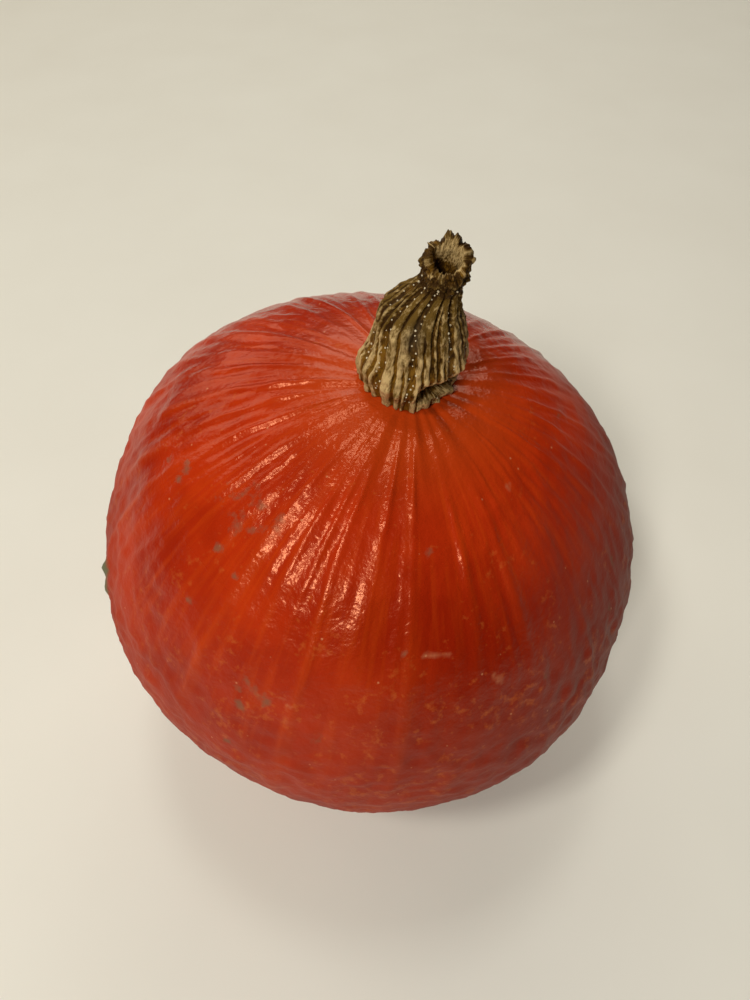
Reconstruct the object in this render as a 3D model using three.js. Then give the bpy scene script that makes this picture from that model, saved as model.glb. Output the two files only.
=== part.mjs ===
// A small round winter squash of the red kuri kind, sold as a small orange pumpkin: one grown fruit that
// rests on a small flat spot, and the dried, corky stalk that it hung from.
// Millimetres, +Z up. The origin is the centre of the flat spot that the fruit rests on, -Y is the front.
import * as THREE from "three";
import { mergeVertices } from "three/addons/utils/BufferGeometryUtils.js";

// Driving dimensions of the fruit.
const FRUIT_RADIUS = 82.5; // at its widest, round the axis that the stalk stands on
const FRUIT_HALF_HEIGHT = 74; // from its middle to either end of that axis
const LEAN_RIGHT = 6.5; // degrees that the axis leans to the right
const LEAN_FRONT = 3.5; // degrees that the axis leans to the front
const SUNK = 1.6; // how far the weight has flattened the underside
const SOFT_EDGE = 0.4; // half the height over which the flat spot turns into the round side
const FRUIT_COLUMNS = 96;
const FRUIT_ROWS = 36;

// Broad swells and flats: no fruit grows perfectly round. Longitude runs from the right (0) by way of the
// back (90); latitude is above the widest line; spread is how far each one reaches. All three in degrees.
const SWELLS = [
  { longitude: 150, latitude: 32, spread: 28, height: 3.6 },
  { longitude: 205, latitude: -2, spread: 26, height: 1.6 },
  { longitude: 100, latitude: 38, spread: 28, height: 0.8 },
  { longitude: 290, latitude: -60, spread: 24, height: 0.8 },
  { longitude: 330, latitude: 27, spread: 26, height: -3.6 },
  { longitude: 346, latitude: -20, spread: 24, height: -3.2 },
  { longitude: 224, latitude: -42, spread: 22, height: -1.8 },
];

// Shallow ribs run from the stalk over the shoulders and fade out below the widest line.
const RIB_COUNT = 24;
const RIB_HEIGHT = 0.35;
const RIB_LATITUDE = 38; // degrees, where they stand out most
const RIB_REACH = 26; // degrees either side of that

// Driving dimensions of the stalk. Heights are along the fruit's axis, from the top of the fruit.
const STALK_GAP = 0.3; // between the stalk's foot and the skin
const STALK_RIDGES = 9;
const STALK_COLUMNS = 54;
const RIDGE_DEPTH = 0.07; // share of the radius
const FOOT = { right: 0.6, back: 1.0 }; // the foot's centre, away from the fruit's axis
const STALK_HEIGHT = 35.5; // to the middle of the broken rim
const RIM_SLOPE = 0.42; // the back of the broken rim stands higher than its front, for each mm across
const RIM_SLOPE_FROM = 27; // the height where that slope starts to grow
const HOLLOW_RADIUS = 2.9;
const HOLLOW_DEPTH = 9;

// Outside radius of the stalk against height: a flared foot, a tapering body, a narrow neck and a collar.
const STALK_PROFILE = [
  [0, 12.9],
  [1.5, 13.6],
  [4, 13.3],
  [7, 12.4],
  [10, 11.7],
  [15, 10.8],
  [20, 9.7],
  [23, 8.6],
  [26, 6.9],
  [28.5, 5.4],
  [30.5, 4.8],
  [32.5, 5.0],
  [34.2, 5.5],
  [STALK_HEIGHT, 5.0],
];

// How far the stalk's middle line stands to the right of the foot's centre, against height.
const STALK_BEND = [
  [0, 0],
  [10, -0.6],
  [20, -1.4],
  [25, -1.2],
  [28.5, -0.2],
  [32, 1.6],
  [36, 2.8],
];

const radians = THREE.MathUtils.degToRad;
const smoothstep = THREE.MathUtils.smoothstep;

// The fruit's own axis, and the turn that carries an upright fruit onto it with its front kept in front.
const axis = new THREE.Vector3(Math.tan(radians(LEAN_RIGHT)), -Math.tan(radians(LEAN_FRONT)), 1).normalize();
const rightward = new THREE.Vector3(1, 0, 0).projectOnPlane(axis).normalize();
const lean = new THREE.Matrix4().makeBasis(rightward, axis.clone().cross(rightward), axis);

// The fruit's middle stands so that its lowest point is over the origin, less what it has sunk.
const spread = new THREE.Vector3(
  axis.x * axis.z * (FRUIT_HALF_HEIGHT ** 2 - FRUIT_RADIUS ** 2),
  axis.y * axis.z * (FRUIT_HALF_HEIGHT ** 2 - FRUIT_RADIUS ** 2),
  FRUIT_RADIUS ** 2 + axis.z ** 2 * (FRUIT_HALF_HEIGHT ** 2 - FRUIT_RADIUS ** 2),
);
const standingHeight = Math.sqrt(spread.z);
const middle = new THREE.Vector3(spread.x / standingHeight, spread.y / standingHeight, standingHeight - SUNK);

function directionOf(longitude, latitude) {
  const around = radians(longitude);
  const up = radians(latitude);
  return new THREE.Vector3(Math.cos(up) * Math.cos(around), Math.cos(up) * Math.sin(around), Math.sin(up));
}

const swells = SWELLS.map(({ longitude, latitude, spread: reach, height }) => ({
  centre: directionOf(longitude, latitude),
  reach: radians(reach),
  height,
}));

// How much the skin stands out of, or in from, the plain round shape in a given direction.
function relief(direction) {
  const latitude = THREE.MathUtils.radToDeg(Math.asin(THREE.MathUtils.clamp(direction.z, -1, 1)));
  const longitude = Math.atan2(direction.y, direction.x);
  const ribs = RIB_HEIGHT * Math.exp(-(((latitude - RIB_LATITUDE) / RIB_REACH) ** 2));
  let height = ribs * Math.cos(RIB_COUNT * longitude);
  for (const { centre, reach, height: most } of swells) {
    height += most * Math.exp(-((direction.angleTo(centre) / reach) ** 2));
  }
  return height;
}

// A height above the ground, with whatever would go below it pressed flat, and a soft edge round the flat.
function settled(z) {
  if (z <= -SOFT_EDGE) {
    return 0;
  }
  return z >= SOFT_EDGE ? z : (z + SOFT_EDGE) ** 2 / (4 * SOFT_EDGE);
}

// A lathed shape with +Z as its axis, made of one set of shared vertices, each then moved by a function.
function turned(profile, columns, move) {
  const lathe = new THREE.LatheGeometry(profile, columns).rotateX(Math.PI / 2);
  lathe.deleteAttribute("normal");
  lathe.deleteAttribute("uv");
  const geometry = mergeVertices(lathe);
  const position = geometry.getAttribute("position");
  const point = new THREE.Vector3();
  for (let i = 0; i < position.count; i++) {
    move(point.fromBufferAttribute(position, i));
    position.setXYZ(i, point.x, point.y, point.z);
  }
  geometry.computeVertexNormals();
  return geometry;
}

function fruitGeometry() {
  const profile = [];
  for (let row = 0; row <= FRUIT_ROWS; row++) {
    const latitude = Math.PI * (row / FRUIT_ROWS - 0.5);
    const onAxis = row === 0 || row === FRUIT_ROWS;
    profile.push(
      new THREE.Vector2(onAxis ? 0 : FRUIT_RADIUS * Math.cos(latitude), FRUIT_HALF_HEIGHT * Math.sin(latitude)),
    );
  }
  return turned(profile, FRUIT_COLUMNS, (point) => {
    const direction = point.clone().normalize();
    point.addScaledVector(direction, relief(direction));
    point.applyMatrix4(lean).add(middle);
    point.z = settled(point.z);
  });
}

// The height of the fruit's own top surface at a distance from its axis.
function crownHeight(distance) {
  return FRUIT_HALF_HEIGHT * Math.sqrt(1 - (distance / FRUIT_RADIUS) ** 2);
}

function follow(table, height) {
  const curve = new THREE.SplineCurve(table.map(([h, value]) => new THREE.Vector2(h, value)));
  const last = table.length - 1;
  const next = table.findIndex(([h]) => h >= height);
  if (next <= 0) {
    return next === 0 ? table[0][1] : table[last][1];
  }
  const [h0] = table[next - 1];
  const [h1] = table[next];
  return curve.getPoint((next - 1 + (height - h0) / (h1 - h0)) / last).y;
}

function stalkGeometry() {
  const outside = STALK_PROFILE.map(([height, radius]) => new THREE.Vector2(radius, height));
  const foot = [0, 0.35, 0.7].map((share) => new THREE.Vector2(share * STALK_PROFILE[0][1], 0));
  const hollow = [
    new THREE.Vector2(HOLLOW_RADIUS + 0.5, STALK_HEIGHT - 0.6),
    new THREE.Vector2(HOLLOW_RADIUS, STALK_HEIGHT - 0.4 * HOLLOW_DEPTH),
    new THREE.Vector2(0.7 * HOLLOW_RADIUS, STALK_HEIGHT - 0.9 * HOLLOW_DEPTH),
    new THREE.Vector2(0, STALK_HEIGHT - HOLLOW_DEPTH),
  ];
  return turned([...foot, ...outside, ...hollow], STALK_COLUMNS, (point) => {
    const height = point.z;
    const radius = Math.hypot(point.x, point.y);
    const shell = Math.max(0, 1 - Math.abs(follow(STALK_PROFILE, height) - radius) / 2);
    const flute = 1 + RIDGE_DEPTH * shell * Math.cos(STALK_RIDGES * Math.atan2(point.y, point.x));
    const slope = RIM_SLOPE * smoothstep(height, RIM_SLOPE_FROM, STALK_HEIGHT);
    point.z += slope * point.y;
    point.x = point.x * flute + FOOT.right + follow(STALK_BEND, height);
    point.y = point.y * flute + FOOT.back;
    const sitsOn = crownHeight(Math.hypot(point.x, point.y)) - crownHeight(0);
    point.z += sitsOn * (1 - smoothstep(height, 0, 10)) + FRUIT_HALF_HEIGHT + STALK_GAP;
    point.applyMatrix4(lean).add(middle);
  });
}

function piece(name, geometry, material) {
  const mesh = new THREE.Mesh(geometry, material);
  mesh.name = name;
  return mesh;
}

const skin = new THREE.MeshStandardMaterial({ color: 0xb8321a, roughness: 0.42, metalness: 0 });
const cork = new THREE.MeshStandardMaterial({ color: 0x8a7350, roughness: 0.85, metalness: 0 });

const squash = new THREE.Group();
squash.add(piece("fruit", fruitGeometry(), skin));
squash.add(piece("stem", stalkGeometry(), cork));

export default squash;
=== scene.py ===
"""A small round orange winter squash of the red kuri kind, with its dried corky stalk.

Lengths inside the classes are millimetres and angles are degrees, and a finished mesh is in metres.
Longitude runs round the fruit's own axis from its right (0) by its back (90). Latitude is the angle
above its widest line.
"""
import itertools
import logging
import math
import random
from collections.abc import Sequence
from dataclasses import dataclass, field
from enum import Enum

import bmesh
import bpy
import numpy as np
from mathutils import Matrix, Vector


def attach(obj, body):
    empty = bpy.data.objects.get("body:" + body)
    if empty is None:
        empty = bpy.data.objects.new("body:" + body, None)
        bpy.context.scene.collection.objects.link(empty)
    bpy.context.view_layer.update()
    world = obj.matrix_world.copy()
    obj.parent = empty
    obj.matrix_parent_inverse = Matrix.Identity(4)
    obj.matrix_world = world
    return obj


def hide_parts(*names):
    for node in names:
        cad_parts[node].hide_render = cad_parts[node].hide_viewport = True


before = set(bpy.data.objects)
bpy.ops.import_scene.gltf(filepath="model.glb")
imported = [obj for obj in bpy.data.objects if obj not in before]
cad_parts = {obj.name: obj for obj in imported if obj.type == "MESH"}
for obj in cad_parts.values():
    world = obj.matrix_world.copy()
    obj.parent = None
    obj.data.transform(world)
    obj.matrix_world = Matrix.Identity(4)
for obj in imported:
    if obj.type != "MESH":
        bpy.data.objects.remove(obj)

MM = 0.001
Tree = bpy.types.NodeTree
Socket = bpy.types.NodeSocket
LOG = logging.getLogger("squash")


class Slot(Enum):
    """The record's material slots."""

    SKIN = "skin"
    CORK = "cork"


# ---------------------------------------------------------------- helpers


def linear(hex_colour: str) -> tuple[float, float, float, float]:
    """Turns an sRGB hex colour into the linear values that the shaders use.

    Args:
        hex_colour: Six hex digits with a leading #.

    Returns:
        Linear red, green and blue, and an alpha of 1.
    """
    values = [int(hex_colour[i:i + 2], 16) / 255 for i in (1, 3, 5)]
    red, green, blue = (v / 12.92 if v <= 0.04045 else ((v + 0.055) / 1.055) ** 2.4 for v in values)
    return red, green, blue, 1.0


def per_metre(wavelength_mm: float) -> float:
    """The texture scale that repeats a pattern once in this many millimetres."""
    return 1.0 / (wavelength_mm * MM)


def add_node(
    tree: Tree,
    kind: str,
    settings: dict[str, object] | None = None,
    inputs: dict[str | int, object] | None = None,
) -> bpy.types.Node:
    """Adds a node, with its settings, and fills or links its inputs.

    Args:
        tree: The node tree it goes in.
        kind: The node's type name.
        settings: Property names and their values.
        inputs: Socket names or numbers, each with a value or with the output socket that feeds it.

    Returns:
        The new node.
    """
    node = tree.nodes.new(kind)
    for name, value in (settings or {}).items():
        setattr(node, name, value)
    for name, value in (inputs or {}).items():
        if isinstance(value, Socket):
            tree.links.new(value, node.inputs[name])
        else:
            node.inputs[name].default_value = value
    return node


def start_material(name: str) -> tuple[bpy.types.Material, Tree, bpy.types.Node]:
    """Starts a material made of nodes.

    Args:
        name: What the real material is.

    Returns:
        The material, its nodes and its shader.
    """
    material = bpy.data.materials.new(name)
    material.use_nodes = True
    return material, material.node_tree, material.node_tree.nodes["Principled BSDF"]


def smooth(value: np.ndarray, low: float, high: float) -> np.ndarray:
    """Rises smoothly from 0 at low to 1 at high, and falls instead where low is above high."""
    share = np.clip((value - low) / (high - low), 0.0, 1.0)
    return share * share * (3.0 - 2.0 * share)


def angle_between(first: np.ndarray, second: np.ndarray) -> np.ndarray:
    """The signed difference of two angles in degrees, from -180 to 180."""
    return (first - second + 180.0) % 360.0 - 180.0


def grain(points: np.ndarray, wavelengths: tuple[float, float, float], seed: int) -> np.ndarray:
    """Smooth gradient noise of about -1 to 1.

    Args:
        points: One row for each place.
        wavelengths: How far the pattern stretches along each of the three directions.
        seed: Picks the pattern, so that two fields differ.

    Returns:
        One value for each place.
    """
    chance = np.random.default_rng(seed)
    order = chance.permutation(256)
    slopes = chance.normal(size=(256, 3))
    slopes /= np.linalg.norm(slopes, axis=1, keepdims=True)
    scaled = points / np.array(wavelengths)
    cell = np.floor(scaled).astype(int)
    part = scaled - cell
    ease = part**3 * (part * (part * 6.0 - 15.0) + 10.0)
    total = np.zeros(len(points))
    for corner in itertools.product((0, 1), repeat=3):
        at = cell + corner
        key = order[(order[(order[at[:, 0] & 255] + at[:, 1]) & 255] + at[:, 2]) & 255]
        weight = np.prod(np.where(corner, ease, 1.0 - ease), axis=1)
        total += weight * np.sum(slopes[key] * (part - corner), axis=1)
    return total * 1.9


def read_points(mesh: bpy.types.Mesh) -> np.ndarray:
    """The mesh's vertices, one row each.

    Args:
        mesh: Any mesh.

    Returns:
        Each vertex's place.
    """
    flat = np.empty(len(mesh.vertices) * 3, np.float32)
    mesh.vertices.foreach_get("co", flat)
    return flat.reshape(-1, 3).astype(float)


def write_points(mesh: bpy.types.Mesh, points: np.ndarray) -> None:
    """Moves the mesh's vertices to these places."""
    mesh.vertices.foreach_set("co", points.astype(np.float32).ravel())
    mesh.update()


def store(mesh: bpy.types.Mesh, name: str, values: np.ndarray) -> None:
    """Keeps one number, or one vector, for each vertex where a material can read it.

    Args:
        mesh: The mesh that keeps it.
        name: The attribute's name.
        values: One row for each vertex.
    """
    kind, key = ("FLOAT", "value") if values.ndim == 1 else ("FLOAT_VECTOR", "vector")
    attribute = mesh.attributes.new(name, kind, "POINT")
    attribute.data.foreach_set(key, values.astype(np.float32).ravel())


def lathe(name: str, profile: list[tuple[float, float]], columns: int) -> bpy.types.Mesh:
    """Turns a profile that starts and ends on the Z axis once round it.

    An eighth is spun, then doubled three times, which is many times quicker than one full spin.

    Args:
        name: The mesh's name.
        profile: Radius and height of each point, from the lowest pole to the last.
        columns: How many steps the whole turn has, a multiple of 8.

    Returns:
        A closed mesh with its faces pointing out.
    """
    shape = bmesh.new()
    verts = [shape.verts.new((radius, 0.0, height)) for radius, height in profile]
    edges = [shape.edges.new(pair) for pair in zip(verts, verts[1:])]
    turn = math.tau / 8
    bmesh.ops.spin(
        shape, geom=verts + edges, cent=(0, 0, 0), axis=(0, 0, 1),
        angle=turn, steps=columns // 8, use_merge=False,
    )
    for _ in range(3):
        copy = bmesh.ops.duplicate(shape, geom=shape.verts[:] + shape.edges[:] + shape.faces[:])
        moved = [item for item in copy["geom"] if isinstance(item, bmesh.types.BMVert)]
        bmesh.ops.rotate(shape, verts=moved, cent=(0, 0, 0), matrix=Matrix.Rotation(turn, 3, "Z"))
        turn *= 2
    bmesh.ops.remove_doubles(shape, verts=shape.verts[:], dist=1e-4)
    bmesh.ops.recalc_face_normals(shape, faces=shape.faces[:])
    for face in shape.faces:
        face.smooth = True
    mesh = bpy.data.meshes.new(name)
    shape.to_mesh(mesh)
    shape.free()
    return mesh


def place(mesh: bpy.types.Mesh, material: bpy.types.Material) -> bpy.types.Object:
    """Makes the piece for a finished mesh, dresses it, and lets it ride on the root body.

    Args:
        mesh: The mesh, in metres and in place. Its name becomes the piece's.
        material: Its finish.

    Returns:
        The piece.
    """
    mesh.materials.append(material)
    piece = bpy.data.objects.new(mesh.name, mesh)
    bpy.context.scene.collection.objects.link(piece)
    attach(piece, "root")
    LOG.info("%s: %d faces in %s", piece.name, len(mesh.polygons), material.name)
    return piece


# ---------------------------------------------------------------- finishes


@dataclass(frozen=True)
class Pattern:
    """A noise pattern: its real size, its octaves, and how strongly the fine ones show."""

    size_mm: float
    octaves: float
    fineness: float = 0.5


@dataclass(frozen=True)
class Coat:
    """A colour laid over others: where its mask begins and is full, and how much it then covers."""

    colour: str
    begins: float = 0.0
    full: float = 1.0
    cover: float = 1.0


@dataclass(frozen=True)
class WaxySkin:
    """The fruit's rind as it grew: thin, waxy and satin, finely pitted like orange peel, with painted
    shade darkening its underside and front right side.
    """

    deep: str = "#991f05"
    ground: Coat = Coat("#b42e09", 0.38, 0.64)
    stripe: Coat = Coat("#c6450c")
    crown: Coat = Coat("#b23a0d")
    # Painted shade: a deeper red laid over the underside and the front right side.
    painted_shade: Coat = Coat("#751201", cover=0.85)
    freckle: Coat = Coat("#c2642a", 0.9, 1.07, 0.4)
    speck: Coat = Coat("#e0a070", 0.06, 0.03, 0.42)
    scar: Coat = Coat("#c8825a", 0.2, 1.0, 0.55)
    scurf: Coat = Coat("#6d5a44", 0.2, 1.05, 0.6)
    cork: Coat = Coat("#5f6346")
    glow: str = "#ffb488"
    cloud: Pattern = Pattern(24.0, 4.0)
    streak: Pattern = Pattern(2.6, 3.0)
    fleck: Pattern = Pattern(2.3, 4.0, 0.62)
    drift: Pattern = Pattern(13.0, 2.0)
    broken: Pattern = Pattern(2.0, 5.0)
    pit: Pattern = Pattern(1.1, 2.0, 0.55)
    dimple: Pattern = Pattern(2.8, 2.0)
    speck_gap_mm: float = 6.5
    along_growth: float = 0.12
    streak_range: tuple[float, float] = (0.48, 0.78)
    streak_share: float = 0.38
    rib_share: float = 0.24
    drift_share: float = 0.5
    low_share: float = 0.09
    # Gain and offset: how sharply a scurf patch ends, and how broken its edge is.
    scurf_gate: tuple[float, float] = (1.5, -0.35)
    scurf_edge: tuple[float, float] = (2.6, -1.4)
    pit_depth_mm: float = 0.11
    dimple_depth_mm: float = 0.24
    wax_roughness: float = 0.23
    scurf_roughness: float = 0.2
    worn_roughness: float = 0.36
    ior: float = 1.5

    def make(self) -> bpy.types.Material:
        """Builds the material from its colours and real sizes.

        Returns:
            The material.
        """
        material, tree, shader = start_material("waxy_squash_rind_painted_shade_grown")
        grown = {
            name: add_node(tree, "ShaderNodeAttribute", {"attribute_name": name}).outputs["Fac"]
            for name in ("rib", "crown", "shade", "low", "scar", "scurf", "wart", "matt")
        }
        noise, speck = self.patterns(tree)
        colour, scurfy = self.colours(tree, grown, noise, speck)
        # The scurf is duller than the wax, which is worn thinner low down and on the right flank.
        dulled = add_node(
            tree, "ShaderNodeMath", {"operation": "MULTIPLY_ADD"},
            {0: scurfy, 1: self.scurf_roughness, 2: self.wax_roughness},
        )
        rough = add_node(
            tree, "ShaderNodeMath", {"operation": "MULTIPLY_ADD"},
            {0: grown["matt"], 1: self.worn_roughness, 2: dulled.outputs[0]},
        )
        # Orange-peel pits and dimples break the shine into grains.
        dimpled = add_node(
            tree, "ShaderNodeBump", None,
            {"Height": noise[self.dimple], "Strength": 1.0, "Distance": self.dimple_depth_mm * MM},
        )
        pitted = add_node(
            tree, "ShaderNodeBump", None,
            {
                "Height": noise[self.pit], "Strength": 1.0, "Distance": self.pit_depth_mm * MM,
                "Normal": dimpled.outputs[0],
            },
        )
        tree.links.new(colour, shader.inputs["Base Color"])
        tree.links.new(rough.outputs[0], shader.inputs["Roughness"])
        tree.links.new(pitted.outputs[0], shader.inputs["Normal"])
        # Light that enters the clear wax and leaves it again carries the rind's orange with it.
        shader.inputs["Specular Tint"].default_value = linear(self.glow)
        shader.inputs["IOR"].default_value = self.ior
        return material

    def patterns(self, tree: Tree) -> tuple[dict[Pattern, Socket], Socket]:
        """Lays every pattern over the rind at its real size.

        Args:
            tree: The material's nodes.

        Returns:
            The value of each noise pattern, and the distance to the nearest pin-prick.
        """
        place_in = add_node(tree, "ShaderNodeTexCoord").outputs["Object"]
        growth = add_node(tree, "ShaderNodeAttribute", {"attribute_name": "growth"}).outputs["Vector"]
        # The streaks are drawn out the way that the fruit grew.
        drawn = add_node(
            tree, "ShaderNodeMapping", None,
            {"Vector": growth, "Scale": (1.0, 1.0, self.along_growth)},
        ).outputs[0]
        noise = {}
        for pattern in (
            self.cloud, self.streak, self.fleck, self.drift, self.broken, self.pit, self.dimple
        ):
            laid = add_node(
                tree, "ShaderNodeTexNoise", None,
                {
                    "Vector": drawn if pattern is self.streak else place_in,
                    "Scale": per_metre(pattern.size_mm),
                    "Detail": pattern.octaves,
                    "Roughness": pattern.fineness,
                },
            )
            noise[pattern] = laid.outputs[0]
        pricks = add_node(
            tree, "ShaderNodeTexVoronoi", {"feature": "F1"},
            {"Vector": place_in, "Scale": per_metre(self.speck_gap_mm), "Randomness": 1.0},
        )
        return noise, pricks.outputs[0]

    def colours(
        self,
        tree: Tree,
        grown: dict[str, Socket],
        noise: dict[Pattern, Socket],
        speck: Socket,
    ) -> tuple[Socket, Socket]:
        """Lays the rind's colours over each other.

        Args:
            tree: The material's nodes.
            grown: What the mesh stores at each place, by name.
            noise: The value of each pattern.
            speck: The distance to the nearest pin-prick.

        Returns:
            The colour, and how far the scurf covers it.
        """
        begins, full = self.streak_range
        streaky = add_node(
            tree, "ShaderNodeMapRange", None,
            {0: noise[self.streak], 1: begins, 2: full, 4: self.streak_share},
        )
        ribbed = add_node(
            tree, "ShaderNodeMath", {"operation": "MULTIPLY_ADD", "use_clamp": True},
            {0: grown["rib"], 1: self.rib_share, 2: streaky.outputs[0]},
        )
        drifted = add_node(
            tree, "ShaderNodeMath", {"operation": "MULTIPLY_ADD"},
            {0: noise[self.drift], 1: self.drift_share, 2: noise[self.fleck]},
        )
        lowered = add_node(
            tree, "ShaderNodeMath", {"operation": "MULTIPLY_ADD"},
            {0: grown["low"], 1: self.low_share, 2: drifted.outputs[0]},
        )
        edge, gated = (
            add_node(
                tree, "ShaderNodeMath", {"operation": "MULTIPLY_ADD"}, {0: value, 1: gain, 2: offset}
            ).outputs[0]
            for value, (gain, offset) in (
                (noise[self.broken], self.scurf_edge), (grown["scurf"], self.scurf_gate)
            )
        )
        healed = add_node(tree, "ShaderNodeMath", {"operation": "ADD"}, {0: gated, 1: edge})
        layers = (
            # Cloudy depth of colour, a few centimetres across, gives a living skin rather than paint.
            (noise[self.cloud], self.ground),
            # Fine light streaks run the way the fruit grew, and the ribs are a lighter orange.
            (ribbed.outputs[0], self.stripe),
            (grown["crown"], self.crown),
            # Painted shade: the underside and the front right side are darkened to a deeper red.
            (grown["shade"], self.painted_shade),
            # Small yellowish flecks gather in drifts, mostly on the lower half.
            (lowered.outputs[0], self.freckle),
            # Pale pin-prick specks.
            (speck, self.speck),
            # A scratch that has healed is a pale line of dry skin.
            (grown["scar"], self.scar),
            # Dull grey-brown scurf, where the skin healed over a rub, has a broken edge.
            (healed.outputs[0], self.scurf),
            # The warts are bare grey-green cork.
            (grown["wart"], self.cork),
        )
        colour, covers = linear(self.deep), {}
        for mask, coat in layers:
            covers[coat] = add_node(
                tree, "ShaderNodeMapRange", None,
                {0: mask, 1: coat.begins, 2: coat.full, 4: coat.cover},
            ).outputs[0]
            colour = add_node(
                tree, "ShaderNodeMix", {"data_type": "RGBA"},
                {0: covers[coat], 6: colour, 7: linear(coat.colour)},
            ).outputs[2]
        return colour, covers[self.scurf]


@dataclass(frozen=True)
class DriedCork:
    """The stalk's dried rind: pale, matt, corky ridges over dark, hard, slightly glossy channels."""

    pale: str = "#c8ab76"
    tan: str = "#634a1d"
    channel: str = "#2e1904"
    ochre: str = "#785417"
    bruise: Coat = Coat("#3a2f22", cover=0.85)
    glow: str = "#dcb478"
    fibre: Pattern = Pattern(0.5, 4.0, 0.6)
    patch: Pattern = Pattern(3.5, 6.0, 0.65)
    along_growth: float = 0.14
    fibre_share: float = 0.8
    weather_share: float = 0.24
    worn_range: tuple[float, float] = (0.92, 1.2)
    fray: tuple[float, float] = (1.5, -0.75)
    ridge_range: tuple[float, float] = (0.38, 0.72)
    relief_mm: float = 0.5
    channel_roughness: float = 0.5
    ridge_roughness: float = 0.85
    ior: float = 1.46

    def make(self) -> bpy.types.Material:
        """Builds the material from its colours and real sizes.

        Returns:
            The material.
        """
        material, tree, shader = start_material("corky_stalk_dried")
        ridge, bruise, weather_and_painted_light = (
            add_node(tree, "ShaderNodeAttribute", {"attribute_name": name}).outputs["Fac"]
            for name in ("ridge", "bruise", "weather_and_painted_light")
        )
        place_in = add_node(tree, "ShaderNodeTexCoord").outputs["Object"]
        growth = add_node(tree, "ShaderNodeAttribute", {"attribute_name": "growth"}).outputs["Vector"]
        # Fibres run up the stalk; they streak the cork and fray the edge of each pale ridge.
        drawn = add_node(
            tree, "ShaderNodeMapping", None,
            {"Vector": growth, "Scale": (1.0, 1.0, self.along_growth)},
        ).outputs[0]
        fibre, patch = (
            add_node(
                tree, "ShaderNodeTexNoise", None,
                {
                    "Vector": vector,
                    "Scale": per_metre(pattern.size_mm),
                    "Detail": pattern.octaves,
                    "Roughness": pattern.fineness,
                },
            ).outputs[0]
            for pattern, vector in ((self.fibre, drawn), (self.patch, place_in))
        )
        mixed, frayed = (
            add_node(
                tree, "ShaderNodeMath", {"operation": "MULTIPLY_ADD"}, {0: fibre, 1: share, 2: base}
            ).outputs[0]
            for share, base in ((self.fibre_share, patch), self.fray)
        )
        # Cork weathers in patches from brown to a paler buff, palest low down; this attribute also
        # carries a painted highlight on the torn rim and painted shade inside the hollow.
        worn = add_node(
            tree, "ShaderNodeMath", {"operation": "MULTIPLY_ADD"},
            {0: weather_and_painted_light, 1: self.weather_share, 2: mixed},
        )
        # The ridge attribute also carries painted shade in the fold, the hollow and the collar's pits,
        # and painted highlight on the collar's raised bits.
        level = add_node(tree, "ShaderNodeMath", {"operation": "ADD"}, {0: ridge, 1: frayed})
        patchy, corky = (
            add_node(
                tree, "ShaderNodeMapRange", None, {0: value.outputs[0], 1: low, 2: high}
            ).outputs[0]
            for value, (low, high) in ((worn, self.worn_range), (level, self.ridge_range))
        )
        hollow, cork = (
            add_node(
                tree, "ShaderNodeMix", {"data_type": "RGBA"},
                {0: patchy, 6: linear(dark), 7: linear(light)},
            ).outputs[2]
            for dark, light in ((self.channel, self.ochre), (self.tan, self.pale))
        )
        colour = add_node(
            tree, "ShaderNodeMix", {"data_type": "RGBA"}, {0: corky, 6: hollow, 7: cork}
        ).outputs[2]
        bruised = add_node(
            tree, "ShaderNodeMath", {"operation": "MULTIPLY"}, {0: bruise, 1: self.bruise.cover}
        )
        colour = add_node(
            tree, "ShaderNodeMix", {"data_type": "RGBA"},
            {0: bruised.outputs[0], 6: colour, 7: linear(self.bruise.colour)},
        ).outputs[2]
        rough = add_node(
            tree, "ShaderNodeMapRange", None,
            {0: corky, 3: self.channel_roughness, 4: self.ridge_roughness},
        )
        bump = add_node(
            tree, "ShaderNodeBump", None,
            {"Height": mixed, "Strength": 1.0, "Distance": self.relief_mm * MM},
        )
        tree.links.new(colour, shader.inputs["Base Color"])
        tree.links.new(rough.outputs[0], shader.inputs["Roughness"])
        tree.links.new(bump.outputs[0], shader.inputs["Normal"])
        shader.inputs["Specular Tint"].default_value = linear(self.glow)
        shader.inputs["IOR"].default_value = self.ior
        return material


@dataclass(frozen=True)
class TwoTone:
    """A matt finish in which two close tones drift into each other."""

    name: str
    first: str
    second: str
    pattern: Pattern
    roughness: float
    specular: float

    def make(self) -> bpy.types.Material:
        """Builds the material from its tones and their real size.

        Returns:
            The material.
        """
        material, tree, shader = start_material(self.name)
        place_in = add_node(tree, "ShaderNodeTexCoord").outputs["Object"]
        scale = per_metre(self.pattern.size_mm)
        tone = add_node(
            tree, "ShaderNodeTexNoise", None,
            {"Vector": place_in, "Scale": scale, "Detail": self.pattern.octaves},
        )
        colour = add_node(
            tree, "ShaderNodeMix", {"data_type": "RGBA"},
            {0: tone.outputs[0], 6: linear(self.first), 7: linear(self.second)},
        )
        tree.links.new(colour.outputs[2], shader.inputs["Base Color"])
        shader.inputs["Roughness"].default_value = self.roughness
        shader.inputs["Specular IOR Level"].default_value = self.specular
        return material


@dataclass(frozen=True)
class ChalkyDot(TwoTone):
    """The stalk's lenticels: small domes of chalky cork, cream-white and as dull as plaster."""

    name: str = "chalky_lenticel_grown"
    first: str = "#bda97e"
    second: str = "#e6dcc0"
    pattern: Pattern = Pattern(1.5, 1.0)
    roughness: float = 0.6
    specular: float = 0.5


@dataclass(frozen=True)
class PaleBoard(TwoTone):
    """The surface it stands on: matt white paint, very slightly uneven in tone."""

    name: str = "painted_board_matt"
    first: str = "#e9e7dd"
    second: str = "#e3e0d5"
    pattern: Pattern = Pattern(70.0, 3.0)
    roughness: float = 0.6
    specular: float = 0.3


# ---------------------------------------------------------------- the fruit


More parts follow.
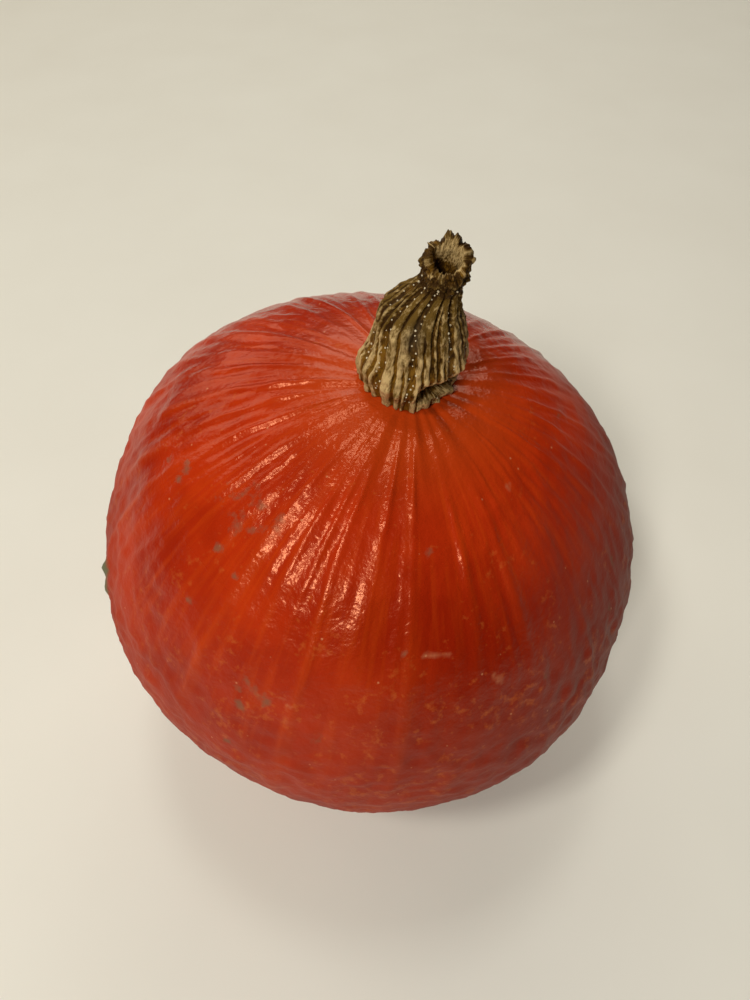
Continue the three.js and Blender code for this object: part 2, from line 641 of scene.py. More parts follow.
@dataclass(frozen=True)
class Noise:
    """Smooth noise on a shape: its height, how far it stretches each way, and what picks it."""

    height: float
    stretch: tuple[float, float, float]
    seed: int

    def on(self, points: np.ndarray) -> np.ndarray:
        """Its height at each place."""
        return self.height * grain(points, self.stretch, self.seed)


@dataclass(frozen=True)
class Swell:
    """A broad swelling of the fruit, or a flat where its height is negative."""

    longitude: float
    latitude: float
    reach: float
    height: float


@dataclass(frozen=True)
class Rib:
    """A low ridge down from the shoulder. Drift is how far it strays sideways by its lower end."""

    longitude: float
    top: float
    bottom: float
    height: float = 0.45
    width: float = 1.5
    drift: float = 0.0


@dataclass(frozen=True)
class Spot:
    """A small round mark on the skin, or a wart. A wart's strength is its height."""

    longitude: float
    latitude: float
    radius: float
    strength: float = 1.0


@dataclass
class Fruit:
    """The fruit body: a leaning round form with swells, ribs, wrinkles, warts and a flat foot."""

    radius: float = 82.5
    half_height: float = 74.0
    lean_right: float = 6.5
    lean_front: float = 3.5
    sunk: float = 1.6
    soft_edge: float = 0.4
    columns: int = 448
    rows: int = 218
    swells: tuple[Swell, ...] = (
        Swell(150, 32, 28, 3.6),
        Swell(205, -2, 26, 1.6),
        Swell(100, 38, 28, 0.8),
        Swell(290, -60, 24, 0.8),
        Swell(330, 27, 26, -3.6),
        Swell(346, -20, 24, -3.2),
        Swell(224, -42, 22, -1.8),
    )
    back_ribs: tuple[float, float] = (5.0, 172.0)
    fine_ribs: int = 84
    front_ribs: tuple[Rib, ...] = tuple(Rib(*row) for row in (
        (178, 76, 26, 0.6, 1.6, -3.0), (187, 74, 22, 0.55, 1.6, -2.0),
        (196, 76, 18, 0.6, 1.3, -2.0), (199.5, 76, 64, 0.35, 0.9), (211, 68, 50, 0.4, 1.4),
        (220, 66, 54, 0.3, 1.5), (231, 66, 0, 0.45, 1.5, -2.0), (239.5, 64, 44, 0.45, 1.4),
        (250.5, 68, -4, 0.45, 1.3), (261, 74, 28, 0.5, 1.4, 0.5), (271.5, 74, 4, 0.6, 1.5),
        (286, 68, 26, 0.5, 1.5, 0.5), (299, 68, 34, 0.45, 1.5, 1.0), (302.5, 28, 2, 0.4, 1.0),
        (305.5, 60, 46, 0.4, 1.2), (311, 34, 18, 0.35, 1.1), (317, 34, 8, 0.4, 1.1),
        (324, 38, 12, 0.35, 1.3), (331, 40, 12, 0.45, 1.2, 1.5), (338, 74, 32, 0.55, 1.3, 6.0),
        (347.5, 68, 42, 0.4, 1.2, 1.0), (352, 38, 20, 0.4, 1.1), (357, 66, 36, 0.45, 1.4),
    ))
    scurfs: tuple[Spot, ...] = tuple(Spot(*row) for row in (
        (212, 48, 3.6, 0.55), (214, 51.5, 3.8, 0.62), (218, 53, 3.6, 0.62), (222, 53, 3.4, 0.55),
        (220.5, 48, 4.2, 0.62), (225, 48.5, 2.8, 0.6), (230, 52.5, 3.2, 0.68),
        (227.5, 50, 2.4, 0.6), (191, 40, 1.5), (197, 44, 2.6), (198.5, 41.5, 1.7), (221, 42, 2.0),
        (223, 31.5, 1.7), (229, 41, 1.4), (241, 25.5, 1.6), (240, 22.8, 1.4), (243.3, 24.7, 1.8),
        (245.7, 23.8, 2.3), (241.4, 20, 2.1), (241, 9, 1.8), (257.4, 19.2, 2.6, 0.65),
        (276.6, 56, 1.6, 0.95), (270.5, 38.5, 1.5, 0.8), (272, 30, 1.3, 0.8), (303, 27, 1.5, 0.8),
    ))
    scars: tuple[Spot, ...] = tuple(Spot(*row) for row in (
        (274.8, 38.4, 0.8, 0.8), (275.7, 38.5, 0.8, 0.8), (276.6, 38.4, 0.8, 0.9),
        (277.5, 38.2, 0.9, 0.9), (278.4, 38.3, 0.8, 0.6), (279.3, 38.2, 0.8, 0.7),
        (280.2, 38.0, 0.8, 0.8), (281.1, 37.8, 0.7, 0.5), (290.1, 32.3, 0.8), (291.2, 31.4, 1.1),
        (292.0, 30.6, 0.7), (313.9, 62.4, 0.9), (316.0, 62.5, 0.5), (248.7, 25.5, 0.6),
        (250.3, 24.7, 0.7),
    ))
    warts: tuple[Spot, ...] = tuple(Spot(*row) for row in (
        (197, 10.5, 2.3, 1.4), (199.5, 7, 2.2, 1.2), (212, -6, 0.9, 0.6), (222, -9, 0.8, 0.5),
        (228, -13, 0.9, 0.7), (244, -16, 0.8, 0.5), (262, -20, 0.9, 0.6),
    ))
    seed: int = 7
    waver: Noise = Noise(0.55, (13, 13, 20), 11)
    lumps: tuple[Noise, ...] = (
        Noise(0.4, (28, 28, 28), 12), Noise(0.2, (11, 11, 11), 13)
    )
    leather: Noise = Noise(0.17, (4.6, 4.6, 4.6), 14)
    leather_drift: Noise = Noise(1.0, (32, 32, 32), 15)
    fine_leather: Noise = Noise(0.1, (2.9, 2.9, 2.9), 16)
    creases_down: Noise = Noise(1.0, (6.0, 6.0, 13.0), 17)
    creases_round: Noise = Noise(1.0, (10.0, 10.0, 4.5), 18)
    puckers: Noise = Noise(1.0, (6.5, 6.5, 6.5), 20)
    folds: Noise = Noise(0.55, (14.0, 14.0, 70.0), 19)
    crease_line: float = 0.35
    worn_side: float = 345.0
    # Painted shade: the longitude of the darkened front right side, and how strongly the underside is
    # darkened.
    painted_shade_side: float = 326.0
    painted_shade_under: float = 0.45

    axis: Vector = field(init=False)
    lean: Matrix = field(init=False)
    middle: Vector = field(init=False)

    def __post_init__(self) -> None:
        """Works out the leaning axis, and where the middle is when the origin is the lowest point."""
        right, front = (math.tan(math.radians(lean)) for lean in (self.lean_right, self.lean_front))
        self.axis = Vector((right, -front, 1.0)).normalized()
        rightward = Vector((1, 0, 0)) - self.axis * self.axis.x
        rightward.normalize()
        self.lean = Matrix((rightward, self.axis.cross(rightward), self.axis)).transposed()
        flatness = self.half_height**2 - self.radius**2
        standing = math.sqrt(self.radius**2 + self.axis.z**2 * flatness)
        offset = self.axis.z * flatness / standing
        self.middle = Vector((self.axis.x * offset, self.axis.y * offset, standing - self.sunk))

    def to_row(self, points: np.ndarray) -> np.ndarray:
        """Carries points from the upright fruit's own frame to the row's frame."""
        return points @ np.array(self.lean).T + np.array(self.middle)

    def crown_height(self, distance: np.ndarray) -> np.ndarray:
        """The height of the plain round form above its middle, at a distance from its axis."""
        return self.half_height * np.sqrt(1.0 - (distance / self.radius) ** 2)

    def all_ribs(self) -> list[Rib]:
        """The ribs on show, others like them round the back, and finer ones between them all.

        Returns:
            All the ribs.
        """
        chance = random.Random(self.seed)
        ribs = list(self.front_ribs)
        longitude, end = self.back_ribs
        while longitude < end:
            top = chance.uniform(66, 76)
            ribs.append(
                Rib(longitude, top, chance.uniform(-4, 34), chance.uniform(0.4, 0.62),
                    chance.uniform(1.2, 1.7), chance.uniform(-3, 3))
            )
            longitude += chance.uniform(7.5, 11.5)
        for step in range(self.fine_ribs):
            top = chance.uniform(30, 76)
            longitude = step * 360 / self.fine_ribs + chance.uniform(-2, 2)
            ribs.append(
                Rib(longitude, top, top - chance.uniform(14, 40), chance.uniform(0.12, 0.28),
                    chance.uniform(0.7, 1.2), chance.uniform(-2, 2))
            )
        return ribs

    def rib_relief(self, longitude: np.ndarray, latitude: np.ndarray) -> np.ndarray:
        """How far the ribs stand out, with the slight hollow that lies along each side of one.

        Args:
            longitude: Longitude of each place.
            latitude: Its latitude.

        Returns:
            One height for each place.
        """
        relief = np.zeros_like(longitude)
        for rib in self.all_ribs():
            along = (rib.top - latitude) / (rib.top - rib.bottom)
            sway = 0.5 * np.sin(np.radians(latitude * 5.0 + rib.longitude * 17.0))
            away = angle_between(longitude, rib.longitude + rib.drift * np.clip(along, 0, 1) + sway)
            hollow = 0.25 * np.exp(-(away / (2.6 * rib.width)) ** 2)
            ridge = 1.25 * np.exp(-(away / rib.width) ** 2) - hollow
            fade = smooth(latitude, rib.bottom - 9, rib.bottom + 9)
            fade = fade * smooth(latitude, rib.top + 5, rib.top - 7)
            relief += 0.85 * rib.height * ridge * fade
        return relief

    def swell_relief(self, direction: np.ndarray) -> np.ndarray:
        """How far the broad swells and flats move the surface.

        Args:
            direction: The way to each place from the fruit's middle.

        Returns:
            One height for each place.
        """
        relief = np.zeros(len(direction))
        for swell in self.swells:
            relief += swell.height * np.exp(-(self.degrees_from(direction, swell) / swell.reach) ** 2)
        return relief

    @staticmethod
    def degrees_from(direction: np.ndarray, spot: Swell | Spot) -> np.ndarray:
        """The angle at the fruit's middle between each direction and a spot on the skin.

        Args:
            direction: The way to each place.
            spot: A spot with a longitude and a latitude.

        Returns:
            One angle for each place.
        """
        around, up = math.radians(spot.longitude), math.radians(spot.latitude)
        out = math.cos(up)
        centre = np.array([out * math.cos(around), out * math.sin(around), math.sin(up)])
        return np.degrees(np.arccos(np.clip(direction @ centre, -1.0, 1.0)))

    def spots(self, direction: np.ndarray, marks: Sequence[Spot]) -> np.ndarray:
        """The strongest mark at each place, with a soft edge to each.

        Args:
            direction: The way to each place from the fruit's middle.
            marks: The marks.

        Returns:
            One strength for each place.
        """
        most = np.zeros(len(direction))
        for mark in marks:
            away = np.radians(self.degrees_from(direction, mark)) * self.radius / mark.radius
            most = np.maximum(most, mark.strength * np.exp(-(away**2)))
        return most

    def all_scurfs(self) -> list[Spot]:
        """The healed patches on show, and others scattered over the back and low in front.

        Returns:
            All the patches.
        """
        chance = random.Random(self.seed + 1)
        marks = list(self.scurfs)
        for count, *ranges in (
            (26, (-45, 170), (-35, 60), (1.0, 2.6), (0.6, 1.0)),
            (16, (180, 310), (-45, -8), (0.9, 2.2), (0.6, 1.0)),
        ):
            for _ in range(count):
                marks.append(Spot(*(chance.uniform(low, high) for low, high in ranges)))
        return marks

    def profile(self) -> list[tuple[float, float]]:
        """Radius and height of the plain round form, from its lowest pole to its highest.

        Returns:
            The radius and height of each row.
        """
        profile = []
        for row in range(self.rows + 1):
            up = math.pi * (row / self.rows - 0.5)
            reach = 0.0 if row in (0, self.rows) else self.radius * math.cos(up)
            profile.append((reach, self.half_height * math.sin(up)))
        return profile

    def wrinkles(
        self, points: np.ndarray, growth: np.ndarray, around: np.ndarray, latitude: np.ndarray
    ) -> np.ndarray:
        """How far the leathery grain, the creases and the folds round the stalk stand out.

        Args:
            points: Places on the plain round form.
            growth: The same places with the skin rolled out straight from pole to pole.
            around: Their longitudes in radians.
            latitude: Their latitudes.

        Returns:
            One height for each place.
        """
        low = smooth(latitude, 40, 8)
        flank = np.abs(np.cos(around)) ** 2
        leather = self.leather.on(points) * np.clip(0.75 + self.leather_drift.on(points), 0.3, 1.6)
        leather += self.fine_leather.on(points)
        leather *= 0.55 + 1.2 * low
        creases = (0.2 + 0.45 * flank) * (self.crease_line - np.abs(self.creases_down.on(growth)))
        creases += 0.6 * low * (self.crease_line - np.abs(self.creases_round.on(growth)))
        creases += 0.32 * (low + 0.4 * flank) * self.puckers.on(points)
        creases *= smooth(latitude, 76, 56)
        folds = self.folds.on(growth) * smooth(latitude, 58, 74)
        return (leather + creases + folds) * smooth(latitude, 89, 78)

    def build(self, finish: WaxySkin) -> bpy.types.Object:
        """Turns the round form, raises its relief and stores what the finish reads.

        Args:
            finish: The skin's finish.

        Returns:
            The fruit.
        """
        mesh = lathe("squash_fruit", self.profile(), self.columns)
        points = read_points(mesh)
        direction = points / np.linalg.norm(points, axis=1, keepdims=True)
        longitude = np.degrees(np.arctan2(direction[:, 1], direction[:, 0])) % 360.0
        latitude = np.degrees(np.arcsin(np.clip(direction[:, 2], -1.0, 1.0)))
        arc = np.radians(latitude) * self.half_height
        around = np.radians(longitude)
        growth = np.stack([self.radius * np.cos(around), self.radius * np.sin(around), arc], axis=1)

        ribs = self.rib_relief(longitude, latitude)
        ribs *= np.clip(0.8 + self.waver.on(growth), 0.2, 1.35)
        lumps = sum(layer.on(points) for layer in self.lumps)
        relief = self.swell_relief(direction) + ribs + lumps
        relief += self.wrinkles(points, growth, around, latitude)
        relief += self.spots(direction, self.warts)
        placed = self.to_row(points + direction * relief[:, None])
        placed[:, 2] = self.settled(placed[:, 2])
        write_points(mesh, placed * MM)

        warty = np.clip(self.spots(direction, self.warts), 0.0, 1.0)
        worn = smooth(np.cos(around - math.radians(self.worn_side)), 0.5, 0.9)
        # Painted shade falls on the front right side, away from the lights.
        painted_shade = smooth(np.cos(around - math.radians(self.painted_shade_side)), 0.1, 0.95)
        grown = {
            "growth": growth * MM,
            "rib": np.clip(ribs / 0.45, 0.0, 1.0) * smooth(latitude, 66, 36),
            "low": smooth(latitude, 52, 12),
            "matt": np.maximum(smooth(latitude, 45, 12), worn * smooth(latitude, 70, 45)),
            "wart": smooth(warty, 0.08, 0.35),
            # Painted shade: darker on the front right side and towards the bottom.
            "shade": np.maximum(
                painted_shade * smooth(latitude, 60, 22), self.painted_shade_under * smooth(latitude, 28, -5)
            ),
            "scar": self.spots(direction, self.scars),
            "scurf": self.spots(direction, self.all_scurfs()),
            "crown": smooth(latitude, 58, 78),
        }
        for name, values in grown.items():
            store(mesh, name, values)
        piece = place(mesh, finish.make())
        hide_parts("fruit")
        return piece

    def settled(self, height: np.ndarray) -> np.ndarray:
        """Presses flat whatever would be under the ground, with a soft edge round the flat.

        Args:
            height: Each place's height above the ground.

        Returns:
            The heights after that.
        """
        soft = (height + self.soft_edge) ** 2 / (4 * self.soft_edge)
        above = np.where(height >= self.soft_edge, height, soft)
        return np.where(height <= -self.soft_edge, 0.0, above)


# ---------------------------------------------------------------- the stalk


@dataclass(frozen=True)
class Channel:
    """A dark channel between two corky ridges. Dotted ones carry lenticels."""

    longitude: float
    width: float
    dotted: bool = False
    top: float = 36.0


@dataclass
class Stalk:
    """The dried stalk: flared foot, ridged body, narrow neck and a broken, hollow, ragged end."""

    fruit: Fruit
    columns: int = 360
    rise: float = 0.3
    foot_right: float = 0.6
    foot_back: float = 1.0
    height: float = 36.0
    rim_slope: float = 0.42
    rim_slope_from: float = 27.0
    sink: float = 0.5
    wall: float = 1.2
    hollow_radius: float = 3.0
    hollow_depth: float = 11.0
    under_rows: int = 14
    outside_rows: int = 124
    hollow_rows: int = 34
    dots_end: float = 32.0
    dot_gap: tuple[float, float] = (0.8, 2.0)
    dot_radius: tuple[float, float] = (0.15, 0.3)
    # Height and radius up the stalk, then height and how far it bends right, then angle and spread.
    outline: tuple[tuple[float, float], ...] = (
        (0, 12.9), (2, 13.4), (6, 13.3), (8, 12.8), (10, 12.3), (14, 11.5), (18, 10.7), (20, 10.3),
        (22, 9.6), (24, 8.3), (26, 7.1), (28, 5.9), (30, 4.9), (32, 4.6), (34, 4.8), (36, 4.9),
    )
    bend: tuple[tuple[float, float], ...] = (
        (0, -0.5), (6, -0.7), (10, -0.4), (16, -0.7), (21, -1.1), (24, -0.8), (27, 0.2), (30, 1.2),
        (33, 1.6), (36, 1.7),
    )
    foot: tuple[tuple[float, float], ...] = (
        (0, -3.6), (12, -1.2), (28, 0.3), (90, -0.6), (140, 0.6), (163, 1.2), (184, -0.2),
        (217, -1.4), (241, -2.2), (262, -2.2), (272, -3.2), (283, -5.4), (300, -6.6), (321, -7.0),
        (345, -5.6), (360, -3.6),
    )
    channels: tuple[Channel, ...] = tuple(Channel(*row) for row in (
        (190, 8, True), (207, 3.2), (221, 6.5, True), (241, 2.6), (252, 1.6, False, 13),
        (261.5, 4.8, True), (275, 1.8, False, 22), (286, 2.8), (293.5, 2.8, False, 26),
        (303, 2, False, 15), (312.5, 6, True), (326, 2, False, 17), (335, 2.8), (347, 6, True),
        (6, 3), (22, 6.5, True), (38, 3), (52, 4), (67, 6.5, True), (84, 2.6, False, 20), (97, 4),
        (113, 6.5, True), (129, 2.8), (142, 4), (157, 6.5, True), (176, 3.2),
    ))
    seed: int = 23
    wander: Noise = Noise(3.4, (0.5, 0.5, 10.0), 31)
    quick_wander: Noise = Noise(1.5, (0.25, 0.25, 3.6), 32)
    swelling: Noise = Noise(0.4, (7.0, 7.0, 14.0), 33)
    fibres: tuple[Noise, ...] = (
        Noise(0.2, (1.1, 1.1, 9.0), 34),
        Noise(0.26, (2.2, 2.2, 2.4), 35),
        Noise(0.14, (1.0, 1.0, 1.3), 43),
    )
    crumble: tuple[Noise, ...] = (
        Noise(0.85, (1.8, 1.8, 1.1), 36), Noise(0.6, (0.9, 0.9, 0.6), 37)
    )
    pleats: tuple[Noise, ...] = (
        Noise(1.1, (4.0, 4.0, 2.2), 38), Noise(0.45, (1.8, 1.8, 1.3), 39)
    )
    tears: tuple[Noise, ...] = (
        Noise(0.8, (0.4, 0.4, 1.0), 40), Noise(0.6, (0.1, 0.1, 1.0), 41)
    )
    hollow_wall: Noise = Noise(0.45, (1.3, 1.3, 5.0), 42)
    twist: float = 6.0
    lip_at: float = 318.0
    lip_reach: float = 44.0
    lip_out: float = 2.9
    fold_height: float = 3.9
    fold_depth: float = 0.9
    fold_width: float = 0.9
    # Each lobe has its angle, how far it hangs out and its height, and each peak angle, rise and width.
    lobes: tuple[tuple[float, float, float], ...] = (
        (186.0, 0.4, 34.4), (352.0, 0.6, 33.0), (22.0, 0.7, 35.2), (318.0, 0.6, 31.4),
    )
    lobe_width: float = 17.0
    lobe_height: float = 1.2
    peaks: tuple[tuple[float, float, float], ...] = (
        (182.0, 1.2, 18.0), (28.0, 1.0, 16.0), (66.0, 1.6, 11.0), (88.0, 1.2, 9.0),
    )
    # Painted shade inside the hollow: the angle of its darker left side and how far round it reaches.
    painted_shade_left_side: float = 195.0
    painted_shade_left_width: float = 55.0
    # The bruise's angle and height, and its size in both.
    bruise_at: tuple[float, float] = (256.0, 21.0)
    bruise_size: tuple[float, float] = (13.0, 3.4)

    @staticmethod
    def follow(table: tuple[tuple[float, float], ...], height: np.ndarray) -> np.ndarray:
        """Reads a table of height and value as a smooth curve through its points.

        Args:
            table: Pairs of a height and a value.
            height: Where to read it.

        Returns:
            One value for each height.
        """
        knots = np.array([h for h, _ in table], float)
        values = np.array([v for _, v in table], float)
        slopes = np.gradient(values, knots)
        at = np.clip(height, knots[0], knots[-1])
        i = np.clip(np.searchsorted(knots, at, side="right") - 1, 0, len(knots) - 2)
        span = knots[i + 1] - knots[i]
        t = (at - knots[i]) / span
        return (
            (2 * t**3 - 3 * t**2 + 1) * values[i] + (t**3 - 2 * t**2 + t) * span * slopes[i]
            + (3 * t**2 - 2 * t**3) * values[i + 1] + (t**3 - t**2) * span * slopes[i + 1]
        )

    def profile(self) -> list[tuple[float, float]]:
        """Radius and height from under the foot, up the outside and down into the hollow.

        Returns:
            The radius and height of each row.
        """
        under = [(self.outline[0][1] * share, 0.0) for share in np.linspace(0.0, 0.96, self.under_rows)]
        heights = np.linspace(0.0, self.height, self.outside_rows)
        outside = list(zip(self.follow(self.outline, heights).tolist(), heights.tolist()))
        inside = []
        for share in np.linspace(0.1, 1.0, self.hollow_rows):
            narrowing = self.hollow_radius * math.sqrt(max(0.0, 1.0 - share**4))
            inside.append((narrowing, self.height - 0.3 - self.hollow_depth * share))
        lip = [(self.hollow_radius + out, self.height + up) for out, up in ((1.1, 0.15), (0.5, 0.1))]
        return under + outside + lip + inside

    def cut_channels(
        self, angle: np.ndarray, height: np.ndarray, ring: np.ndarray
    ) -> tuple[np.ndarray, np.ndarray]:
        """Finds where the channels run. They wander a little on the way up.

        Args:
            angle: The angle of each place round the stalk.
            height: Its height above the foot.
            ring: The same angle as a point on a circle of radius 1.

        Returns:
            How much of a ridge each place is, and how deep a channel goes in there.
        """
        along = ring.copy()
        along[:, 2] = height
        wander = self.wander.on(along) + self.quick_wander.on(along)
        wandered = angle + wander * smooth(height, 0, 8) + self.twist * smooth(height, 4, 34)
        ridge = np.ones(len(angle))
        depth = np.zeros(len(angle))
        for channel in self.channels:
            away = np.abs(angle_between(wandered, channel.longitude))
            within = np.exp(-((away / channel.width) ** 4))
            within = within * smooth(height, channel.top + 3, channel.top - 3)
            ridge = np.minimum(ridge, 1.0 - within)
            depth = np.maximum(depth, within * (0.75 + 0.05 * channel.width))
        return ridge, depth

    def torn(self, angle: np.ndarray, ring: np.ndarray) -> np.ndarray:
        """How far the wall stands up where it is torn off, raggedly and higher at the back.

        Args:
            angle: The angle of each place round the stalk.
            ring: The same angle as a point on a circle of radius 1.

        Returns:
            One rise for each place.
        """
        ragged = sum(layer.on(ring) for layer in self.tears)
        for peak, rise, width in self.peaks:
            ragged += rise * np.exp(-((angle_between(angle, peak) / width) ** 2))
        return ragged

    def seated(
        self, radius: np.ndarray, around: np.ndarray, height: np.ndarray, lift: np.ndarray
    ) -> np.ndarray:
        """Bends the stalk, slopes its rim and sits its foot on the fruit's crown.

        Args:
            radius: Each place's distance from the stalk's line.
            around: Its angle round the stalk, in radians.
            height: Its height above the foot.
            lift: How far it then moves up.

        Returns:
            The places in the row's frame.
        """
        x, y = radius * np.cos(around), radius * np.sin(around)
        slope = self.rim_slope * smooth(height, self.rim_slope_from, self.height)
        z = height + lift + slope * y
        x = x + self.foot_right + self.follow(self.bend, height)
        y = y + self.foot_back
        crown = self.fruit.crown_height(np.hypot(x, y)) - self.fruit.half_height
        z = z + crown * smooth(height, 10, 0) + self.fruit.half_height + self.rise
        z = z - self.sink * smooth(height, 2.0, 0.0)
        return self.fruit.to_row(np.stack([x, y, z], axis=1))

    def shape(self, points: np.ndarray) -> tuple[np.ndarray, dict[str, np.ndarray]]:
        """Works the plain turned stalk into its grown form.

        Args:
            points: Places on the turned form.

        Returns:
            The places in the row's frame, and the attributes that the finish reads.
        """
        height = points[:, 2].copy()
        radius = np.hypot(points[:, 0], points[:, 1])
        angle = np.degrees(np.arctan2(points[:, 1], points[:, 0])) % 360.0
        outer = self.follow(self.outline, height)
        shell = np.clip(1.0 - (outer - radius) / self.wall, 0.0, 1.0) * (radius > 1.0)
        shell = np.where(height < 0.01, radius / outer, shell)
        inside = (radius < outer - self.wall) & (height > self.height - self.hollow_depth - 1.0)
        around = np.radians(angle)
        growth = np.stack([outer * np.cos(around), outer * np.sin(around), height], axis=1)
        ring = np.stack([np.cos(around), np.sin(around), np.zeros(len(points))], 1)

        ridge, depth = self.cut_channels(angle, height, ring)
        fibres = sum(layer.on(growth) for layer in self.fibres) * smooth(height, 33, 29)
        crumble = sum(layer.on(growth) for layer in self.crumble) * smooth(height, 29.5, 33)
        on_lip = np.exp(-((angle_between(angle, self.lip_at) / self.lip_reach) ** 6))
        lip = on_lip * smooth(height, 3.4, 2.2)
        depth *= smooth(height, 36, 26) * (1.0 - lip)
        change = shell * (self.swelling.on(growth) + (fibres + crumble) * (1.0 - 0.8 * lip) - depth)

        # The foot is drawn in at the front right, under the ends of the ridges.
        reach = np.interp(angle, [at for at, _ in self.foot], [out for _, out in self.foot])
        drawn_in = np.where(reach < -3.0, smooth(height, 11.0, 3.5), smooth(height, 7.0, 2.0))
        change += shell * reach * drawn_in

        # A crumpled lip runs along below them, with a fold above it whose dark colour is painted shade.
        pleats = sum(layer.on(growth) for layer in self.pleats)
        change += shell * lip * (self.lip_out + pleats)
        fold = on_lip * np.exp(-(((height - self.fold_height) / self.fold_width) ** 2))
        change -= shell * self.fold_depth * fold

        # Torn lobes hang out round the collar.
        for lobe, out, at in self.lobes:
            near = np.exp(-((angle_between(angle, lobe) / self.lobe_width) ** 2))
            near = near * np.exp(-(((height - at) / self.lobe_height) ** 2))
            change += shell * out * near
        radius = radius + change

        rim = smooth(height, 32.5, self.height)
        walled = np.where(inside, smooth(radius, 1.4, 2.9), 1.0)
        lift = rim * self.torn(angle, ring) * walled
        radius = radius + np.where(inside, self.hollow_wall.on(growth) * rim, 0.0)
        placed = self.seated(radius, around, height, lift)

        sideways = (angle_between(angle, self.bruise_at[0]) / self.bruise_size[0]) ** 2
        bruise = np.exp(-sideways - ((height - self.bruise_at[1]) / self.bruise_size[1]) ** 2)
        # Painted shade inside the hollow: the cork is darker deeper below the rim and on the left side.
        painted_shade_left = np.exp(-((angle_between(angle, self.painted_shade_left_side) / self.painted_shade_left_width) ** 2))
        painted_hollow_shade = smooth(height, 34.5, 29.0) + 0.7 * painted_shade_left
        # Round the collar the colour follows the crumbled relief: painted shade in its pits, painted
        # highlight on its raised bits.
        collar = smooth(height, 28.0, 31.0)
        ridge = ridge * (1.0 - collar) + collar * np.clip(0.34 + 0.55 * crumble, 0.0, 1.0)
        ridge = np.maximum(ridge, 0.95 * lip * (0.7 + 0.5 * pleats))
        ridge = np.where(inside, np.clip(0.75 - painted_hollow_shade, 0.0, 1.0), ridge)
        # Paler low down is weathering; the lighter torn rim is a painted highlight.
        weather_and_painted_light = smooth(height, 27.0, 9.0) + 0.35 * rim
        # The fibres are crumpled short along the lip and the collar, so the finish runs faster there.
        fibre = growth.copy()
        fibre[:, 2] = height * (1.0 + 6.0 * lip) + 6.0 * np.maximum(height - 30.0, 0.0)
        attributes = {
            "growth": fibre * MM,
            # The fold is darkened with painted shade, and inside the hollow this value is painted shade
            # as well.
            "ridge": ridge * (1.0 - 0.9 * fold),
            "bruise": bruise * shell,
            "weather_and_painted_light": np.where(inside, np.clip(1.0 - painted_hollow_shade, 0.0, 1.0), weather_and_painted_light),
        }
        return placed, attributes

    def build(self, finish: DriedCork) -> bpy.types.Object:
        """Turns the stalk, works it into shape and dresses it.

        Args:
            finish: The cork's finish.

        Returns:
            The stalk.
        """
        mesh = lathe("squash_stalk", self.profile(), self.columns)
        placed, attributes = self.shape(read_points(mesh))
        write_points(mesh, placed * MM)
        for name, values in attributes.items():
            store(mesh, name, values)
        piece = place(mesh, finish.make())
        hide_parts("stem")
        return piece

    def lenticels(self, finish: ChalkyDot) -> bpy.types.Object:
        """Sets rows of chalky dots along the dotted channels, half sunk in the surface.

        Args:
            finish: The dots' finish.

        Returns:
            All the dots, as one piece.
        """
        chance = random.Random(self.seed)
        seats, sizes = [], []
        for channel in (c for c in self.channels if c.dotted):
            height = chance.uniform(1.5, 3.0)
            while height < self.dots_end:
                angle = channel.longitude - self.twist * float(smooth(np.array(height), 4, 34))
                angle += chance.choice((-1, 1)) * chance.uniform(0.2, 0.85) * channel.width
                outer = float(self.follow(self.outline, np.array([height]))[0])
                around = math.radians(angle)
                seats.append((outer * math.cos(around), outer * math.sin(around), height))
                sizes.append(chance.uniform(*self.dot_radius))
                height += chance.uniform(*self.dot_gap)
        placed, _ = self.shape(np.array(seats))
        shape = bmesh.new()
        for centre, size in zip(placed, sizes):
            spot = Matrix.Translation(Vector(centre)) @ Matrix.Diagonal((size, size, size, 1.0))
            bmesh.ops.create_uvsphere(shape, u_segments=7, v_segments=5, radius=1.0, matrix=spot)
        bmesh.ops.scale(shape, vec=(MM, MM, MM), verts=shape.verts[:])
        for face in shape.faces:
            face.smooth = True
        mesh = bpy.data.meshes.new("squash_stalk_lenticels")
        shape.to_mesh(mesh)
        shape.free()
        return place(mesh, finish.make())


# ---------------------------------------------------------------- the studio


@dataclass(frozen=True)
class Lamp:
    """A rectangular soft light: its direction from the fruit, then metres, watts and an sRGB tint."""

    name: str
    toward: tuple[float, float, float]
    away: float
    size: tuple[float, float]
    watts: float
    tint: str

    def hang(self, middle: Vector) -> None:
        """Hangs the light at its distance from the fruit's middle, facing it.

        Args:
            middle: The fruit's middle in millimetres.
        """
        light = bpy.data.lights.new(self.name, "AREA")
        light.shape = "RECTANGLE"
        light.size, light.size_y = self.size
        light.energy = self.watts
        light.color = linear(self.tint)[:3]
        hung = bpy.data.objects.new(self.name, light)
        direction = Vector(self.toward).normalized()
        hung.location = middle * MM + direction * self.away
        hung.rotation_euler = direction.to_track_quat("Z", "Y").to_euler()
        bpy.context.scene.collection.objects.link(hung)


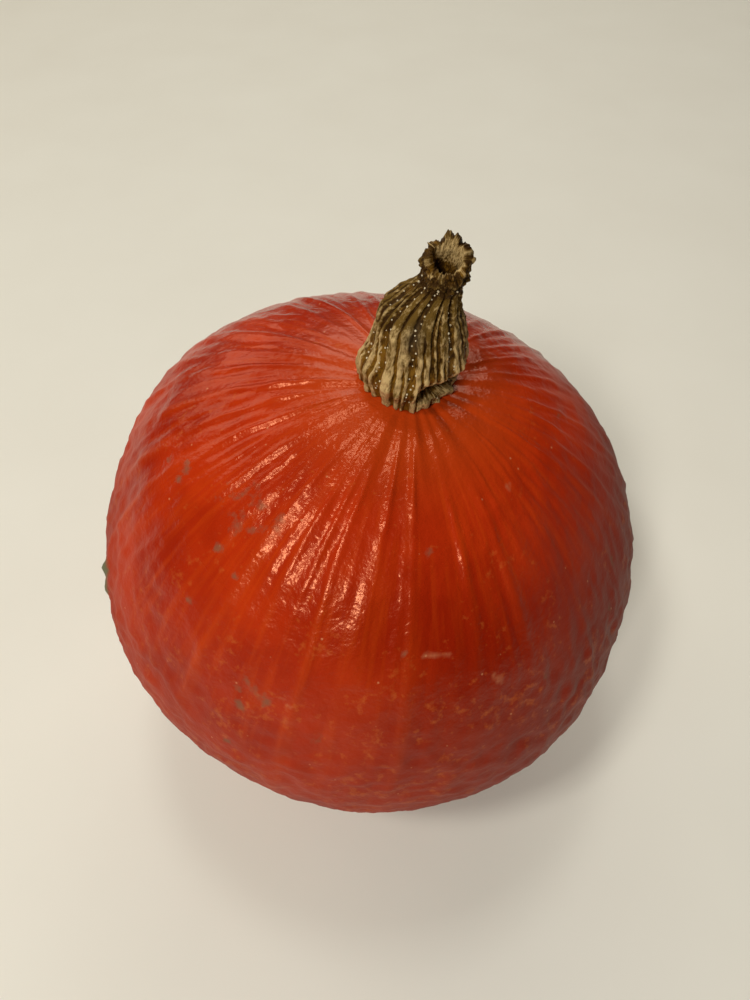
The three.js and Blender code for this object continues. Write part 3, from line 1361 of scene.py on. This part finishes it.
@dataclass
class Studio:
    """The plain floor, soft light and camera."""

    middle: Vector
    floor_radius: float = 1.25
    floor_segments: int = 192
    # A hard key and a soft window stand at the front left, with soft panels above and behind.
    lamps: tuple[Lamp, ...] = (
        Lamp("key", (-0.38, -0.29, 0.88), 1.6, (0.22, 0.22), 7.3, "#fffcf4"),
        Lamp("window", (-0.31, -0.66, 0.69), 1.5, (0.25, 0.28), 11.2, "#fffaf2"),
        Lamp("over", (-0.05, 0.24, 1.0), 1.5, (0.25, 0.3), 3.0, "#fffdf8"),
        Lamp("left_back", (-0.7, 0.7, 0.6), 2.0, (1.2, 1.2), 6.4, "#fff3da"),
        Lamp("back", (0.12, 0.84, 0.66), 2.0, (1.5, 1.1), 11.3, "#fff8ea"),
    )
    camera_distance: float = 247.2
    camera_elevation: float = 54.0
    camera_pitch: float = 50.84
    camera_right: float = -0.5
    camera_near: float = 0.01
    lens: float = 27.04
    room: str = "#efebe0"
    room_fill: float = 0.03
    room_pale: float = 0.7

    def build(self, finish: PaleBoard) -> None:
        """Sets the floor, the lights and the camera.

        Args:
            finish: The floor's finish.
        """
        self.floor(finish)
        for lamp in self.lamps:
            lamp.hang(self.middle)
        self.walls()
        self.camera()

    def floor(self, finish: PaleBoard) -> None:
        """Lays a wide round board at the height that the fruit rests on.

        Args:
            finish: The floor's finish.
        """
        shape = bmesh.new()
        bmesh.ops.create_circle(
            shape, cap_ends=True, segments=self.floor_segments, radius=self.floor_radius
        )
        mesh = bpy.data.meshes.new("floor")
        shape.to_mesh(mesh)
        shape.free()
        mesh.materials.append(finish.make())
        board = bpy.data.objects.new("floor", mesh)
        bpy.context.scene.collection.objects.link(board)

    def walls(self) -> None:
        """Makes the room pale past the floor's edge, with only a faint fill of light of its own."""
        world = bpy.data.worlds.new("pale_room")
        world.use_nodes = True
        tree = world.node_tree
        seen = add_node(tree, "ShaderNodeLightPath").outputs["Is Camera Ray"]
        fill = add_node(
            tree, "ShaderNodeMapRange", None, {0: seen, 3: self.room_fill, 4: self.room_pale}
        )
        background = tree.nodes["Background"]
        background.inputs["Color"].default_value = linear(self.room)
        tree.links.new(fill.outputs[0], background.inputs["Strength"])
        bpy.context.scene.world = world
        bpy.context.scene.view_settings.view_transform = "Standard"

    def camera(self) -> None:
        """Stands the camera in front of and above the fruit, looking down past its top."""
        data = bpy.data.cameras.new("camera")
        data.lens = self.lens
        data.clip_start = self.camera_near
        view = bpy.data.objects.new("camera", data)
        up = math.radians(self.camera_elevation)
        back, rise = self.camera_distance * math.cos(up), self.camera_distance * math.sin(up)
        view.location = (self.middle + Vector((self.camera_right, -back, rise))) * MM
        view.rotation_euler = (math.radians(90.0 - self.camera_pitch), 0.0, 0.0)
        bpy.context.scene.collection.objects.link(view)
        bpy.context.scene.camera = view


def main() -> None:
    """Builds the squash and its studio."""
    logging.basicConfig(level=logging.INFO, format="%(name)s: %(message)s")
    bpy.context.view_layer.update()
    fruit = Fruit()
    fruit.build(WaxySkin())
    stalk = Stalk(fruit)
    stalk.build(DriedCork())
    stalk.lenticels(ChalkyDot())
    Studio(fruit.middle).build(PaleBoard())


if __name__ == "__main__":
    main()
